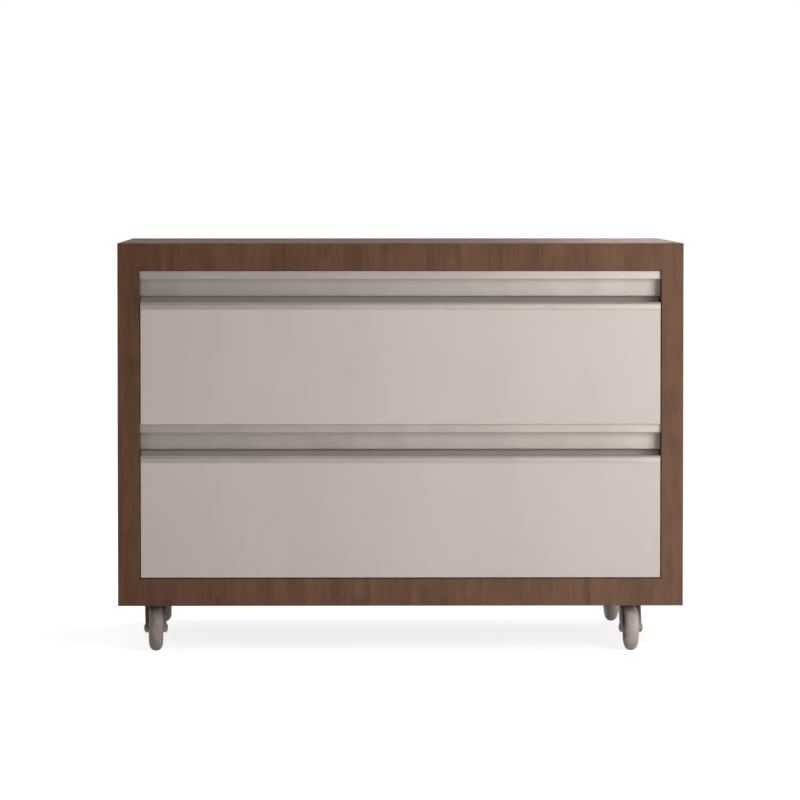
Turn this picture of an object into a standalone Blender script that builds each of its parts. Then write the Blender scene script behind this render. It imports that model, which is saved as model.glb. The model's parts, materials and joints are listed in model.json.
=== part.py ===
"""Mobile office drawer unit: a walnut case, two pale drawers with full-width pull rails, four swivel casters.

Metres, +Z up, the front towards -Y, the origin on the floor below the middle of the case.
"""

import math

import bmesh
import bpy
from mathutils import Euler, Vector

MM = 0.001

# Fits that every piece shares
SEAT_GAP = 0.3 * MM
EDGE_EASE = 0.4 * MM
BEND_STEPS = 3

# Case
CASE_WIDTH = 620 * MM
CASE_DEPTH = 450 * MM
OPENING_HEIGHT = 337.8 * MM
TOP_THICKNESS = 30 * MM
SIDE_THICKNESS = 24 * MM
BOTTOM_THICKNESS = 15 * MM
BASE_RAIL_HEIGHT = 30 * MM
BASE_RAIL_THICKNESS = 18 * MM
BACK_THICKNESS = 6 * MM
BACK_INSET = 10 * MM
BACK_GROOVE_DEPTH = 8 * MM

# Drawer fronts, set into the case
FRONT_THICKNESS = 18 * MM
FRONT_SETBACK = 1 * MM
FRONT_RUNNING_GAP = 1 * MM
FRONT_LIP_THICKNESS = 5 * MM
FRONT_LIP_OVERLAP = 3 * MM
GRIP_HEIGHT = 6.5 * MM
GRIP_NOSE_RADIUS = 2 * MM
GRIP_LEG_LENGTH = 12 * MM
GRIP_LEG_THICKNESS = 1.8 * MM
GRIP_HOLLOW_DEPTH = 1.6 * MM

# Pull rails
RAIL_LIP_HEIGHT = 8.8 * MM
RAIL_WEB_HEIGHT = 18.2 * MM
RAIL_DEPTH = 18 * MM
RAIL_RETURN = 18 * MM
RAIL_APRON = 20 * MM
RAIL_WALL = 1.6 * MM
RAIL_BEND = 1 * MM
RAIL_CLEARANCE = 1 * MM
FINGER_GAP = 8.5 * MM
BRACKET_LEG = 22 * MM
BRACKET_SHEET = 1.5 * MM
BRACKET_BEND = 2 * MM

# Drawer boxes
BOX_WALL = 12 * MM
BOX_RISE = 12 * MM
BOX_TOP_DROP = 20 * MM
BOX_BOTTOM_THICKNESS = 6 * MM
BOX_BOTTOM_RISE = 10 * MM
BOX_GROOVE_DEPTH = 6 * MM
BOX_REAR_CLEARANCE = 15 * MM

# Telescopic slides: three roll-formed members, one inside the other
SLIDE_THICKNESS = 12.7 * MM
SLIDE_HEIGHT = 45 * MM
SLIDE_SHEET = 1.2 * MM
SLIDE_RUNNING_GAP = 0.4 * MM
SLIDE_OUTER_REACH = 11 * MM
SLIDE_OUTER_LIP = 4 * MM
SLIDE_MIDDLE_LIP = 5 * MM
SLIDE_INNER_HOOK = 3 * MM
SLIDE_BEND = 1.2 * MM
SLIDE_FRONT_INSET = 3 * MM

# Casters
WHEEL_DIAMETER = 50.8 * MM
WHEEL_SIDES = 32
TYRE_WIDTH = 15.4 * MM
TREAD_FLAT = 1.5 * MM
TREAD_DROP = 8.5 * MM
TREAD_STEPS = 4
HUB_RADIUS = 15.5 * MM
HUB_WIDTH = 14 * MM
HUB_RIM = 2.5 * MM
HUB_WEB = 4.4 * MM
HUB_BOSS_RADIUS = 6.5 * MM
HUB_SIDES = 24
AXLE_RADIUS = 3 * MM
AXLE_HEAD_RADIUS = 4.4 * MM
AXLE_HEAD_HEIGHT = 2 * MM
ROUND_SIDES = 16
CASTER_HEAD_HEIGHT = 16.4 * MM
CASTER_TRAIL = 22 * MM
FORK_WIDTH = 23.2 * MM
FORK_SHEET = 2.2 * MM
FORK_BEND = 3 * MM
FORK_END_RADIUS = 5.4 * MM
FORK_CROWN_SWING = 19 * MM
FORK_CROWN_SKIRT = 6 * MM
FORK_RACE_RADIUS = 17 * MM
FORK_RACE_HEIGHT = 1.2 * MM
PLATE_WIDTH = 40 * MM
PLATE_DEPTH = 56 * MM
PLATE_SHEET = 2.5 * MM
PLATE_CORNER = 5 * MM
PLATE_HOLE_RADIUS = 2.6 * MM
PLATE_HOLE_MARGIN = 6.5 * MM
PLATE_RACE_HEIGHT = 2.2 * MM
KINGPIN_RADIUS = 4 * MM
KINGPIN_HEAD_RADIUS = 7 * MM
KINGPIN_HEAD_HEIGHT = 2.5 * MM
CASTER_GAP_LEFT = 1 * MM
CASTER_GAP_RIGHT = 18 * MM
CASTER_GAP_FRONT = 14 * MM
CASTER_GAP_REAR = 2 * MM

# How far each caster stands turned, from a wheel that trails straight forward
CASTER_TURNS = {
    "front_left": math.radians(3.5),
    "front_right": math.radians(2),
    "rear_left": math.radians(182),
    "rear_right": math.radians(182),
}

# Heights and places that follow from the sizes above
AXLE_HEIGHT = WHEEL_DIAMETER / 2 * math.cos(math.pi / WHEEL_SIDES)
UNDERSIDE_Z = WHEEL_DIAMETER + CASTER_HEAD_HEIGHT
FLOOR_Z = UNDERSIDE_Z + BOTTOM_THICKNESS
CEILING_Z = FLOOR_Z + OPENING_HEIGHT
FRONT_Y = -CASE_DEPTH / 2
INNER_X = CASE_WIDTH / 2 - SIDE_THICKNESS
BASE_INNER_X = CASE_WIDTH / 2 - BASE_RAIL_THICKNESS
BASE_INNER_Y = CASE_DEPTH / 2 - BASE_RAIL_THICKNESS
BACK_FACE_Y = CASE_DEPTH / 2 - BACK_INSET - BACK_THICKNESS

FRONT_FACE_Y = FRONT_Y + FRONT_SETBACK
DRAWER_PITCH = (OPENING_HEIGHT - FRONT_RUNNING_GAP) / 2
DRAWER_BASES = {
    "lower": FLOOR_Z + FRONT_RUNNING_GAP,
    "upper": FLOOR_Z + FRONT_RUNNING_GAP + DRAWER_PITCH,
}
PULL_HEIGHT = RAIL_LIP_HEIGHT + RAIL_WEB_HEIGHT + FINGER_GAP + GRIP_HEIGHT
FRONT_HEIGHT = DRAWER_PITCH - PULL_HEIGHT - SEAT_GAP
FRONT_WIDTH = 2 * (INNER_X - FRONT_RUNNING_GAP)

BOX_Y = FRONT_THICKNESS + SEAT_GAP
BOX_LENGTH = BACK_FACE_Y - BOX_REAR_CLEARANCE - FRONT_FACE_Y - BOX_Y
BOX_HEIGHT = FRONT_HEIGHT - BOX_RISE - BOX_TOP_DROP
BOX_HALF_WIDTH = INNER_X - SLIDE_THICKNESS - 2 * SEAT_GAP
BOX_INNER_HALF = BOX_HALF_WIDTH - BOX_WALL
SLIDE_LENGTH = BOX_LENGTH - SLIDE_FRONT_INSET

RAIL_FACE = FRONT_LIP_THICKNESS + RAIL_CLEARANCE
RAIL_WEB_FACE = RAIL_FACE + RAIL_DEPTH
RAIL_FOOT = -(RAIL_LIP_HEIGHT + RAIL_WEB_HEIGHT)

PLATE_TOP = UNDERSIDE_Z - SEAT_GAP
PLATE_RACE_FOOT = PLATE_TOP - PLATE_SHEET - PLATE_RACE_HEIGHT
CROWN_TOP = PLATE_RACE_FOOT - SEAT_GAP - FORK_RACE_HEIGHT
CROWN_FOOT = CROWN_TOP - FORK_SHEET
CASTER_LEFT_X = -BASE_INNER_X + PLATE_WIDTH / 2 + CASTER_GAP_LEFT
CASTER_RIGHT_X = BASE_INNER_X - PLATE_WIDTH / 2 - CASTER_GAP_RIGHT
CASTER_FRONT_Y = -BASE_INNER_Y + PLATE_DEPTH / 2 + CASTER_GAP_FRONT
CASTER_REAR_Y = BASE_INNER_Y - PLATE_DEPTH / 2 - CASTER_GAP_REAR
CASTER_PLACES = {
    "front_left": (CASTER_LEFT_X, CASTER_FRONT_Y),
    "front_right": (CASTER_RIGHT_X, CASTER_FRONT_Y),
    "rear_left": (CASTER_LEFT_X, CASTER_REAR_Y),
    "rear_right": (CASTER_RIGHT_X, CASTER_REAR_Y),
}

# Turns a flat outline so that it is drawn out along each axis: (Y, Z), (X, Z) or (X, Y) outlines
DRAWN_ALONG = {
    "X": Euler((math.pi / 2, 0, math.pi / 2)),
    "Y": Euler((math.pi / 2, 0, 0)),
    "Z": Euler((0, 0, 0)),
}
ALONG_AXLE = (0, math.pi / 2, 0)
SIDES = {"left": -1, "right": 1}
WELD = 0.001 * MM
CUT_PAST = 1 * MM


def clear_scene():
    for obj in list(bpy.data.objects):
        bpy.data.objects.remove(obj, do_unlink=True)


def new_collection(name, hidden=False):
    made = bpy.data.collections.new(name)
    made.hide_render = hidden
    bpy.context.scene.collection.children.link(made)
    return made


def new_material(name, colour, roughness, metallic=0.0):
    made = bpy.data.materials.new(name)
    made.use_nodes = True
    shader = made.node_tree.nodes["Principled BSDF"]
    shader.inputs["Base Color"].default_value = (*colour, 1)
    shader.inputs["Roughness"].default_value = roughness
    shader.inputs["Metallic"].default_value = metallic
    return made


clear_scene()
PARTS = new_collection("office_drawer_unit")
CUTTERS = new_collection("cutters", hidden=True)

WALNUT = new_material("walnut_laminate", (0.125, 0.067, 0.042), 0.45)
PALE_LAMINATE = new_material("pale_laminate", (0.52, 0.45, 0.41), 0.4)
PALE_METAL = new_material("pale_painted_aluminium", (0.5, 0.43, 0.39), 0.3, 0.2)
BOX_BOARD = new_material("drawer_box_board", (0.6, 0.57, 0.52), 0.5)
ZINC = new_material("zinc_plated_steel", (0.55, 0.55, 0.56), 0.3, 1.0)
CASTER_STEEL = new_material("caster_steel", (0.2, 0.18, 0.17), 0.4, 0.9)
HUB_PLASTIC = new_material("hub_plastic", (0.28, 0.26, 0.24), 0.5)
TYRE_RUBBER = new_material("tyre_rubber", (0.3, 0.27, 0.25), 0.75)


def add(name, mesh, finish=None, place=(0, 0, 0), turn=(0, 0, 0), parent=None, group=PARTS):
    made = bpy.data.objects.new(name, mesh)
    made.location = place
    made.rotation_euler = turn
    made.parent = parent
    group.objects.link(made)
    if finish:
        mesh.materials.append(finish)
    if group is CUTTERS:
        made.hide_render = True
        made.display_type = "WIRE"
    return made


def empty(name, place, turn=(0, 0, 0)):
    """The axis that a moving body hangs on."""
    return add(name, None, place=place, turn=turn)


def mesh_from(bm, name):
    mesh = bpy.data.meshes.new(name)
    bm.to_mesh(mesh)
    bm.free()
    return mesh


def box_mesh(name, size):
    bm = bmesh.new()
    bmesh.ops.create_cube(bm, size=1)
    bmesh.ops.scale(bm, vec=size, verts=bm.verts)
    return mesh_from(bm, name)


def rod_mesh(name, radius, length, axis):
    bm = bmesh.new()
    bmesh.ops.create_cone(
        bm, cap_ends=True, segments=ROUND_SIDES, radius1=radius, radius2=radius, depth=length
    )
    mesh = mesh_from(bm, name)
    mesh.transform(DRAWN_ALONG[axis].to_matrix().to_4x4())
    return mesh


def drawn_mesh(name, loops, length, axis, closed=True):
    """An outline with its holes, or an open strip, drawn out along an axis and centred on it."""
    curve = bpy.data.curves.new(name, "CURVE")
    curve.dimensions = "2D"
    curve.fill_mode = "BOTH" if closed else "NONE"
    curve.extrude = length / 2
    for loop in loops:
        spline = curve.splines.new("POLY")
        spline.points.add(len(loop) - 1)
        spline.use_cyclic_u = closed
        for point, (u, v) in zip(spline.points, loop):
            point.co = (u, v, 0, 1)
    guide = add(name, curve)
    graph = bpy.context.evaluated_depsgraph_get()
    drawn = bpy.data.meshes.new_from_object(guide.evaluated_get(graph))
    bpy.data.objects.remove(guide)
    bm = bmesh.new()
    bm.from_mesh(drawn)
    bmesh.ops.remove_doubles(bm, verts=bm.verts, dist=WELD)
    bmesh.ops.recalc_face_normals(bm, faces=bm.faces)
    bpy.data.meshes.remove(drawn)
    mesh = mesh_from(bm, name)
    mesh.transform(DRAWN_ALONG[axis].to_matrix().to_4x4())
    return mesh


def arc(centre, radius, start, end, steps):
    """Points on a circle from one angle to another, both ends included."""
    angles = [start + (end - start) * i / steps for i in range(steps + 1)]
    return [(centre[0] + radius * math.cos(a), centre[1] + radius * math.sin(a)) for a in angles]


def bent(points, radius):
    """A path through the points with an arc at each inner corner, as sheet metal is folded."""
    path = [points[0]]
    for before, corner, after in zip(points, points[1:], points[2:]):
        corner = Vector(corner)
        first = (Vector(before) - corner).normalized()
        second = (Vector(after) - corner).normalized()
        half = first.angle(second) / 2
        centre = corner + (first + second).normalized() * radius / math.sin(half)
        start = corner + first * radius / math.tan(half) - centre
        end = corner + second * radius / math.tan(half) - centre
        begin = math.atan2(start.y, start.x)
        path += arc(centre, radius, begin, begin - start.angle_signed(end), BEND_STEPS)
    path.append(points[-1])
    return path


def board(name, size, centre, finish, parent=None):
    """A panel with eased edges."""
    made = add(name, box_mesh(name, size), finish, centre, parent=parent)
    ease = made.modifiers.new("eased_edges", "BEVEL")
    ease.width = EDGE_EASE
    ease.segments = 1
    ease.limit_method = "ANGLE"
    return made


def combine(target, operation, tool):
    boolean = target.modifiers.new(operation.lower(), "BOOLEAN")
    boolean.operation = operation
    boolean.object = tool
    boolean.solver = "EXACT"


def cut_box(target, label, size, centre):
    """Cuts a box out of a piece, placed from the piece's own origin."""
    name = f"{target.name}_{label}"
    tool = add(name, box_mesh(name, size), place=centre, parent=target, group=CUTTERS)
    combine(target, "DIFFERENCE", tool)


def cut_rod(target, label, radius, length, axis, centre):
    name = f"{target.name}_{label}"
    tool = add(name, rod_mesh(name, radius, length, axis), place=centre, parent=target, group=CUTTERS)
    combine(target, "DIFFERENCE", tool)


def sheet(name, path, length, axis, thickness, finish, place, parent=None):
    """Folded sheet metal: the path is the middle of its thickness."""
    made = add(name, drawn_mesh(name, [path], length, axis, closed=False), finish, place, parent=parent)
    solid = made.modifiers.new("sheet_thickness", "SOLIDIFY")
    solid.thickness = thickness
    solid.offset = 0
    solid.use_even_offset = True
    return made


def turned(name, profile, sides, finish=None, place=(0, 0, 0), parent=None, group=PARTS, ring=False):
    """A (radius, height) profile turned about Z, with one of its flats, not a corner, on the X axis."""
    bm = bmesh.new()
    half_flat = math.pi / sides
    corners = [bm.verts.new((r * math.cos(half_flat), r * math.sin(half_flat), h)) for r, h in profile]
    for first, second in zip(corners, corners[1:]):
        bm.edges.new((first, second))
    if ring:
        bm.edges.new((corners[-1], corners[0]))
    made = add(name, mesh_from(bm, name), finish, place, parent=parent, group=group)
    screw = made.modifiers.new("turned", "SCREW")
    screw.axis = "Z"
    screw.steps = sides
    screw.render_steps = sides
    screw.use_merge_vertices = True
    screw.merge_threshold = WELD
    screw.use_smooth_shade = True
    return made


def make_base():
    """The rails round the casters, with the bottom panel raised between them."""
    rail_z = FLOOR_Z - BASE_RAIL_HEIGHT / 2
    rail_y = CASE_DEPTH / 2 - BASE_RAIL_THICKNESS / 2
    rail_x = CASE_WIDTH / 2 - BASE_RAIL_THICKNESS / 2
    long_rail = (CASE_WIDTH, BASE_RAIL_THICKNESS, BASE_RAIL_HEIGHT)
    short_rail = (BASE_RAIL_THICKNESS, 2 * (BASE_INNER_Y - SEAT_GAP), BASE_RAIL_HEIGHT)
    board("base_front_rail", long_rail, (0, -rail_y, rail_z), WALNUT)
    board("base_rear_rail", long_rail, (0, rail_y, rail_z), WALNUT)
    for side, sign in SIDES.items():
        board(f"base_{side}_rail", short_rail, (sign * rail_x, 0, rail_z), WALNUT)
    bottom_size = (2 * (BASE_INNER_X - SEAT_GAP), 2 * (BASE_INNER_Y - SEAT_GAP), BOTTOM_THICKNESS)
    board("bottom_panel", bottom_size, (0, 0, FLOOR_Z - BOTTOM_THICKNESS / 2), WALNUT)


def make_case():
    board("top_panel", (CASE_WIDTH, CASE_DEPTH, TOP_THICKNESS), (0, 0, CEILING_Z + TOP_THICKNESS / 2), WALNUT)
    wall_height = OPENING_HEIGHT - 2 * SEAT_GAP
    wall_z = FLOOR_Z + OPENING_HEIGHT / 2
    back_y = BACK_FACE_Y + BACK_THICKNESS / 2
    groove = (2 * BACK_GROOVE_DEPTH, BACK_THICKNESS + 2 * SEAT_GAP, wall_height + 2 * CUT_PAST)
    for side, sign in SIDES.items():
        centre = (sign * (CASE_WIDTH - SIDE_THICKNESS) / 2, 0, wall_z)
        panel = board(f"{side}_side_panel", (SIDE_THICKNESS, CASE_DEPTH, wall_height), centre, WALNUT)
        cut_box(panel, "back_groove", groove, (-sign * SIDE_THICKNESS / 2, back_y, 0))
    back_width = 2 * (INNER_X + BACK_GROOVE_DEPTH - SEAT_GAP)
    back = add("back_panel", box_mesh("back_panel", (back_width, BACK_THICKNESS, wall_height)), WALNUT)
    back.location = (0, back_y, wall_z)


def make_pull_rail(level, module_top, rise):
    """A folded rail over a drawer front: a lip, a web behind the fingers, an apron that hides the drawer."""
    lip_y = RAIL_FACE + RAIL_WALL / 2
    web_y = RAIL_WEB_FACE + RAIL_WALL / 2
    flange_z = rise - RAIL_WALL / 2
    foot_z = RAIL_FOOT + RAIL_WALL / 2
    corners = [
        (lip_y, -RAIL_LIP_HEIGHT),
        (lip_y, flange_z),
        (web_y, flange_z),
        (web_y, foot_z),
        (web_y + RAIL_RETURN, foot_z),
        (web_y + RAIL_RETURN, foot_z - RAIL_APRON),
    ]
    length = 2 * (INNER_X - SEAT_GAP)
    place = (0, FRONT_FACE_Y, module_top)
    sheet(f"{level}_pull_rail", bent(corners, RAIL_BEND), length, "X", RAIL_WALL, PALE_METAL, place)


def make_rail_brackets(module_top, rise):
    """Angle brackets that hold the straight part of the lower rail's web to the side panels."""
    foot = RAIL_FOOT + RAIL_WALL / 2 + RAIL_BEND
    head = rise - RAIL_WALL / 2 - RAIL_BEND
    place = (0, FRONT_FACE_Y, module_top + (foot + head) / 2)
    wall_x = INNER_X - SEAT_GAP - BRACKET_SHEET / 2
    web_y = RAIL_WEB_FACE + RAIL_WALL + SEAT_GAP + BRACKET_SHEET / 2
    for side, sign in SIDES.items():
        corners = [
            (sign * (wall_x - BRACKET_LEG), web_y),
            (sign * wall_x, web_y),
            (sign * wall_x, web_y + BRACKET_LEG),
        ]
        name = f"lower_rail_{side}_bracket"
        sheet(name, bent(corners, BRACKET_BEND), head - foot, "Z", BRACKET_SHEET, ZINC, place)


def make_front(level, body):
    """The front panel, rebated to lap the rail below, and the grip edge that caps it."""
    size = (FRONT_WIDTH, FRONT_THICKNESS, FRONT_HEIGHT)
    centre = (0, FRONT_THICKNESS / 2, FRONT_HEIGHT / 2)
    panel = board(f"{level}_front_panel", size, centre, PALE_LAMINATE, body)
    rebate_depth = FRONT_THICKNESS - FRONT_LIP_THICKNESS
    rebate_height = FRONT_LIP_OVERLAP + RAIL_CLEARANCE
    rebate = (FRONT_WIDTH + 2 * CUT_PAST, 2 * rebate_depth, 2 * rebate_height)
    cut_box(panel, "rail_rebate", rebate, (0, FRONT_THICKNESS / 2, -FRONT_HEIGHT / 2))

    foot = FRONT_HEIGHT + SEAT_GAP
    crest = foot + GRIP_HEIGHT
    leg_y = FRONT_THICKNESS + SEAT_GAP
    back_y = leg_y + GRIP_LEG_THICKNESS
    hollow_half = (back_y - 2 * GRIP_NOSE_RADIUS) / 2
    hollow_radius = (hollow_half**2 + GRIP_HOLLOW_DEPTH**2) / (2 * GRIP_HOLLOW_DEPTH)
    hollow_angle = math.asin(hollow_half / hollow_radius)
    hollow_centre = (back_y / 2, crest - GRIP_HOLLOW_DEPTH + hollow_radius)
    outline = [(0, foot), (leg_y, foot), (leg_y, foot - GRIP_LEG_LENGTH), (back_y, foot - GRIP_LEG_LENGTH)]
    rear_nose = (back_y - GRIP_NOSE_RADIUS, crest - GRIP_NOSE_RADIUS)
    front_nose = (GRIP_NOSE_RADIUS, crest - GRIP_NOSE_RADIUS)
    down = -math.pi / 2
    hollow = arc(hollow_centre, hollow_radius, down + hollow_angle, down - hollow_angle, 2 * BEND_STEPS)
    outline += arc(rear_nose, GRIP_NOSE_RADIUS, 0, math.pi / 2, BEND_STEPS)
    outline += hollow[1:-1]
    outline += arc(front_nose, GRIP_NOSE_RADIUS, math.pi / 2, math.pi, BEND_STEPS)
    name = f"{level}_grip_edge"
    add(name, drawn_mesh(name, [outline], FRONT_WIDTH, "X"), PALE_METAL, parent=body)


def make_box(level, body):
    """Four walls and a bottom that runs in grooves in the sides and the box front."""
    wall_z = BOX_RISE + BOX_HEIGHT / 2
    bottom_z = BOX_RISE + BOX_BOTTOM_RISE + BOX_BOTTOM_THICKNESS / 2
    inner_width = 2 * (BOX_INNER_HALF - SEAT_GAP)
    groove_height = BOX_BOTTOM_THICKNESS + 2 * SEAT_GAP
    for side, sign in SIDES.items():
        centre = (sign * (BOX_HALF_WIDTH - BOX_WALL / 2), BOX_Y + BOX_LENGTH / 2, wall_z)
        wall = board(f"{level}_box_{side}_side", (BOX_WALL, BOX_LENGTH, BOX_HEIGHT), centre, BOX_BOARD, body)
        groove = (2 * BOX_GROOVE_DEPTH, BOX_LENGTH + 2 * CUT_PAST, groove_height)
        cut_box(wall, "bottom_groove", groove, (-sign * BOX_WALL / 2, 0, bottom_z - wall_z))
    front_centre = (0, BOX_Y + BOX_WALL / 2, wall_z)
    front = board(f"{level}_box_front", (inner_width, BOX_WALL, BOX_HEIGHT), front_centre, BOX_BOARD, body)
    groove = (inner_width + 2 * CUT_PAST, 2 * BOX_GROOVE_DEPTH, groove_height)
    cut_box(front, "bottom_groove", groove, (0, BOX_WALL / 2, bottom_z - wall_z))
    back_foot = bottom_z + BOX_BOTTOM_THICKNESS / 2 + SEAT_GAP
    back_height = BOX_RISE + BOX_HEIGHT - back_foot
    back_centre = (0, BOX_Y + BOX_LENGTH - BOX_WALL / 2, back_foot + back_height / 2)
    board(f"{level}_box_back", (inner_width, BOX_WALL, back_height), back_centre, BOX_BOARD, body)
    groove_end = BOX_WALL - BOX_GROOVE_DEPTH + SEAT_GAP
    bottom_width = 2 * (BOX_INNER_HALF + BOX_GROOVE_DEPTH - SEAT_GAP)
    bottom_size = (bottom_width, BOX_LENGTH - groove_end, BOX_BOTTOM_THICKNESS)
    bottom_centre = (0, BOX_Y + (BOX_LENGTH + groove_end) / 2, bottom_z)
    name = f"{level}_box_bottom"
    add(name, box_mesh(name, bottom_size), BOX_BOARD, bottom_centre, parent=body)


def slide_sections():
    """Each member's folded path as (distance from the side panel, height), upper half first."""
    nest = SLIDE_SHEET + SLIDE_RUNNING_GAP
    outer_half = SLIDE_HEIGHT / 2
    middle_half = outer_half - nest
    inner_half = middle_half - SLIDE_MIDDLE_LIP - SLIDE_RUNNING_GAP

    def channel(back, mouth, half, lip_end):
        inward = math.copysign(SLIDE_SHEET / 2, mouth - back)
        web = back + inward
        rim = mouth - inward
        edge = half - SLIDE_SHEET / 2
        return [(rim, lip_end), (rim, edge), (web, edge), (web, -edge), (rim, -edge), (rim, -lip_end)]

    return {
        "outer": channel(0, SLIDE_OUTER_REACH, outer_half, outer_half - SLIDE_OUTER_LIP),
        "middle": channel(nest, SLIDE_OUTER_REACH - nest, middle_half, middle_half - SLIDE_MIDDLE_LIP),
        "inner": channel(SLIDE_THICKNESS, 2 * nest, inner_half, inner_half + SLIDE_INNER_HOOK),
    }


def make_slides(level, base, middle_body, drawer_body):
    places = {
        "outer": ((0, FRONT_FACE_Y, base), None),
        "middle": ((0, 0, 0), middle_body),
        "inner": ((0, 0, 0), drawer_body),
    }
    middle_y = BOX_Y + SLIDE_FRONT_INSET + SLIDE_LENGTH / 2
    middle_z = BOX_RISE + BOX_HEIGHT / 2
    for member, section in slide_sections().items():
        origin, body = places[member]
        place = Vector(origin) + Vector((0, middle_y, middle_z))
        for side, sign in SIDES.items():
            path = [(sign * (INNER_X - SEAT_GAP - reach), height) for reach, height in section]
            name = f"{level}_{side}_slide_{member}"
            sheet(name, bent(path, SLIDE_BEND), SLIDE_LENGTH, "Y", SLIDE_SHEET, ZINC, place, body)


def make_drawer(level, base):
    drawer_body = empty(f"{level}_drawer_travel", (0, FRONT_FACE_Y, base))
    middle_body = empty(f"{level}_slide_travel", (0, FRONT_FACE_Y, base))
    make_front(level, drawer_body)
    make_box(level, drawer_body)
    make_slides(level, base, middle_body, drawer_body)


def make_caster_plate(corner, x, y):
    """The screwed plate with its ball race and the kingpin riveted through it."""
    outline = []
    for quarter, (across, along) in enumerate(((1, 1), (-1, 1), (-1, -1), (1, -1))):
        centre = (across * (PLATE_WIDTH / 2 - PLATE_CORNER), along * (PLATE_DEPTH / 2 - PLATE_CORNER))
        outline += arc(centre, PLATE_CORNER, quarter * math.pi / 2, (quarter + 1) * math.pi / 2, BEND_STEPS)
    loops = [outline]
    hole_x = PLATE_WIDTH / 2 - PLATE_HOLE_MARGIN
    hole_y = PLATE_DEPTH / 2 - PLATE_HOLE_MARGIN
    for centre in ((hole_x, hole_y), (-hole_x, hole_y), (-hole_x, -hole_y), (hole_x, -hole_y)):
        loops.append(arc(centre, PLATE_HOLE_RADIUS, 0, 2 * math.pi, ROUND_SIDES // 2)[:-1])
    name = f"{corner}_caster_plate"
    plate_z = PLATE_TOP - PLATE_SHEET / 2
    plate = add(name, drawn_mesh(name, loops, PLATE_SHEET, "Z"), CASTER_STEEL, (x, y, plate_z))
    race_foot = PLATE_RACE_FOOT - plate_z
    rivet_top = CROWN_FOOT - SEAT_GAP - plate_z
    profile = [
        (0, 0),
        (FORK_RACE_RADIUS, 0),
        (FORK_RACE_RADIUS, race_foot),
        (KINGPIN_RADIUS, race_foot),
        (KINGPIN_RADIUS, rivet_top),
        (KINGPIN_HEAD_RADIUS, rivet_top),
        (KINGPIN_HEAD_RADIUS - KINGPIN_HEAD_HEIGHT, rivet_top - KINGPIN_HEAD_HEIGHT),
        (0, rivet_top - KINGPIN_HEAD_HEIGHT),
    ]
    kingpin = turned(f"{name}_kingpin", profile, HUB_SIDES, parent=plate, group=CUTTERS)
    combine(plate, "UNION", kingpin)


def fork_side_outline():
    """The fork seen along its axle: a crown that tapers to the rounded end of each leg, as (Y, Z)."""
    crown_half = math.sqrt(FORK_CROWN_SWING**2 - (FORK_WIDTH / 2) ** 2)
    end = Vector((-CASTER_TRAIL, AXLE_HEIGHT))
    front = Vector((-crown_half, CROWN_TOP - FORK_CROWN_SKIRT))
    rear = Vector((crown_half, CROWN_TOP - FORK_CROWN_SKIRT))

    def tangent_angle(point, side):
        away = point - end
        return math.atan2(away.y, away.x) + side * math.acos(FORK_END_RADIUS / away.length)

    begin = tangent_angle(front, 1)
    finish = tangent_angle(rear, -1) + 2 * math.pi
    head = CROWN_TOP + FORK_SHEET
    outline = [(crown_half, head), (-crown_half, head), tuple(front)]
    outline += arc(end, FORK_END_RADIUS, begin, finish, ROUND_SIDES // 2)
    outline.append(tuple(rear))
    return outline


def make_fork(corner, swivel):
    """A strip folded over the wheel, trimmed to the side outline, with its race and its pin holes."""
    leg_x = (FORK_WIDTH - FORK_SHEET) / 2
    crown_z = CROWN_TOP - FORK_SHEET / 2
    strip = bent([(-leg_x, 0), (-leg_x, crown_z), (leg_x, crown_z), (leg_x, 0)], FORK_BEND)
    strip_depth = 4 * (CASTER_TRAIL + FORK_END_RADIUS)
    name = f"{corner}_caster_fork"
    fork = sheet(name, strip, strip_depth, "Y", FORK_SHEET, CASTER_STEEL, (0, 0, 0), swivel)
    name = f"{fork.name}_side"
    trim_mesh = drawn_mesh(name, [fork_side_outline()], 2 * FORK_WIDTH, "X")
    combine(fork, "INTERSECT", add(name, trim_mesh, parent=fork, group=CUTTERS))
    race = [
        (0, CROWN_TOP + FORK_RACE_HEIGHT),
        (FORK_RACE_RADIUS - FORK_RACE_HEIGHT, CROWN_TOP + FORK_RACE_HEIGHT),
        (FORK_RACE_RADIUS, CROWN_TOP),
        (FORK_RACE_RADIUS, crown_z),
        (0, crown_z),
    ]
    combine(fork, "UNION", turned(f"{fork.name}_race", race, HUB_SIDES, parent=fork, group=CUTTERS))
    cut_rod(fork, "kingpin_hole", KINGPIN_RADIUS + SEAT_GAP, 2 * CASTER_HEAD_HEIGHT, "Z", (0, 0, CROWN_TOP))
    axle_place = (0, -CASTER_TRAIL, AXLE_HEIGHT)
    cut_rod(fork, "axle_hole", AXLE_RADIUS + SEAT_GAP, 2 * FORK_WIDTH, "X", axle_place)


def make_axle(corner, swivel):
    seat = FORK_WIDTH / 2 + SEAT_GAP
    head = seat + AXLE_HEAD_HEIGHT
    half = [
        (0, head),
        (AXLE_HEAD_RADIUS - AXLE_HEAD_HEIGHT / 2, head),
        (AXLE_HEAD_RADIUS, head - AXLE_HEAD_HEIGHT / 2),
        (AXLE_HEAD_RADIUS, seat),
        (AXLE_RADIUS, seat),
    ]
    profile = half + [(radius, -height) for radius, height in reversed(half)]
    place = (0, -CASTER_TRAIL, AXLE_HEIGHT)
    axle = turned(f"{corner}_caster_axle", profile, ROUND_SIDES, CASTER_STEEL, place, swivel)
    axle.rotation_euler = ALONG_AXLE


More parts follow.
